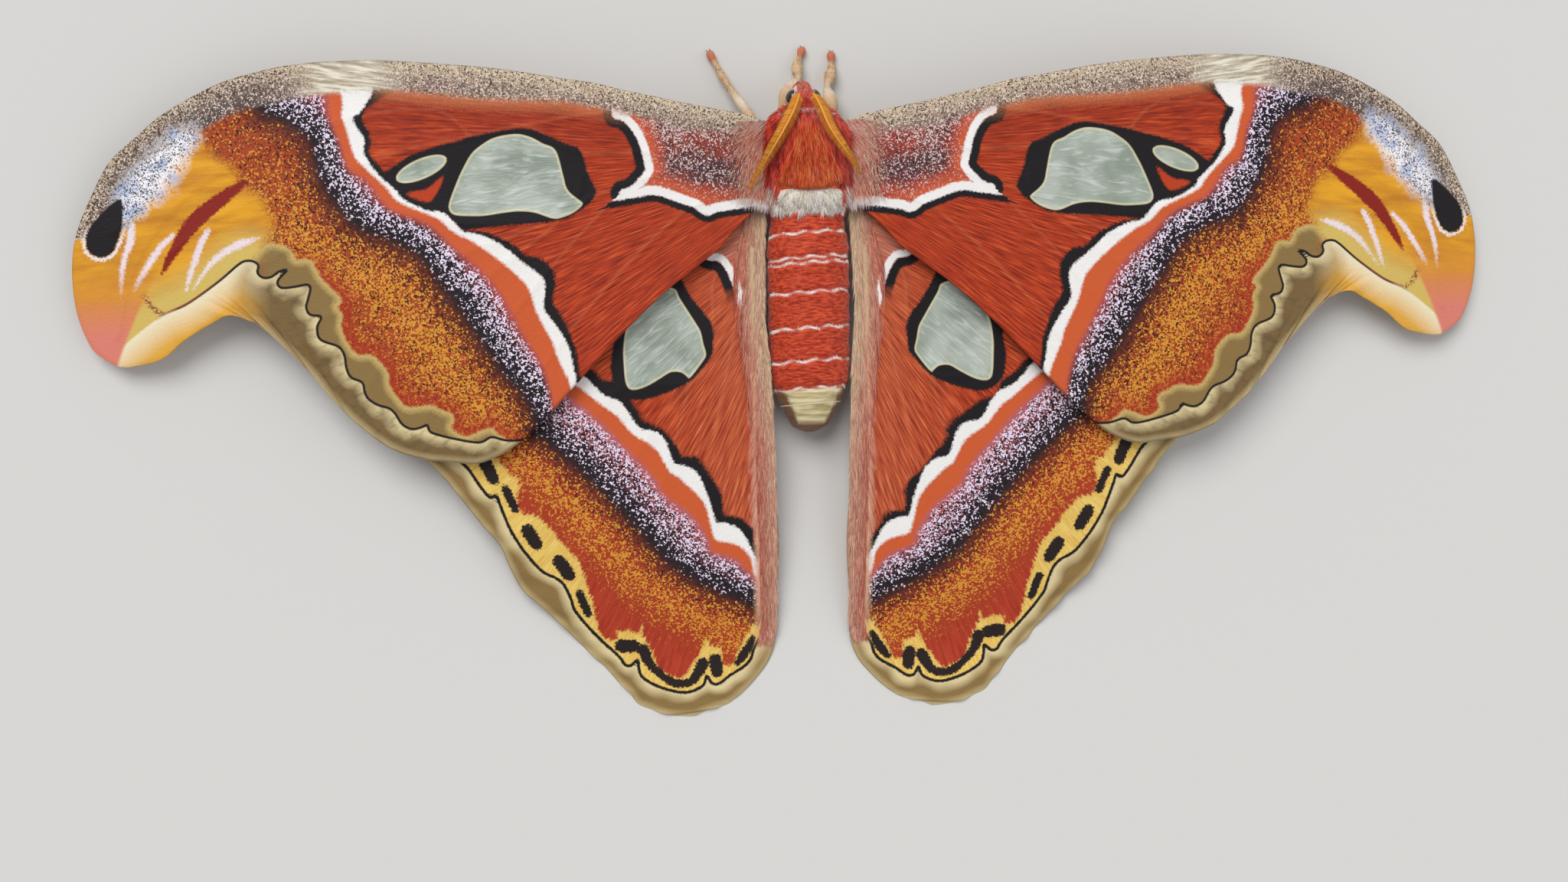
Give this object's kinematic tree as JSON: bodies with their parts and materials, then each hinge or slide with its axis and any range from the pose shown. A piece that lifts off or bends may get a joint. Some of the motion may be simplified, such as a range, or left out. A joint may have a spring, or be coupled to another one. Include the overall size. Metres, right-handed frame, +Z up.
{
  "type": "atlas moth model",
  "caption": "Still life-size atlas moth at rest with wings spread flat, hooked forewing tips, clear wing windows, furry body and feathered antennae.",
  "frame": {"origin": "on the floor under the middle of the spread wings, at the bottom centre of the bounding box", "axes": "+X along the wingspan towards the moth's right, +Y towards the head, +Z up"},
  "size_m": [0.24, 0.1135, 0.0176],
  "materials": {
    "head_fur": "short red-brown fur",
    "eye": "dark glossy compound eye",
    "antenna": "golden feathered comb",
    "thorax_fur": "dense red fur with a white tuft at the rear",
    "abdomen_fur": "short red fur with white fringes",
    "forewing": "matte scaled membrane, patterned",
    "hindwing": "matte scaled membrane, patterned",
    "leg_fur": "short buff fur"
  },
  "bodies": {
    "root": {"head": "head_fur", "eye_left": "eye", "eye_right": "eye", "antenna_left": "antenna", "antenna_right": "antenna", "thorax": "thorax_fur", "abdomen": "abdomen_fur", "forewing_left": "forewing", "forewing_right": "forewing", "hindwing_left": "hindwing", "hindwing_right": "hindwing", "leg_fore_left": "leg_fur", "leg_fore_right": "leg_fur", "leg_middle_left": "leg_fur", "leg_middle_right": "leg_fur", "leg_hind_left": "leg_fur", "leg_hind_right": "leg_fur"}
  },
  "joints": []
}
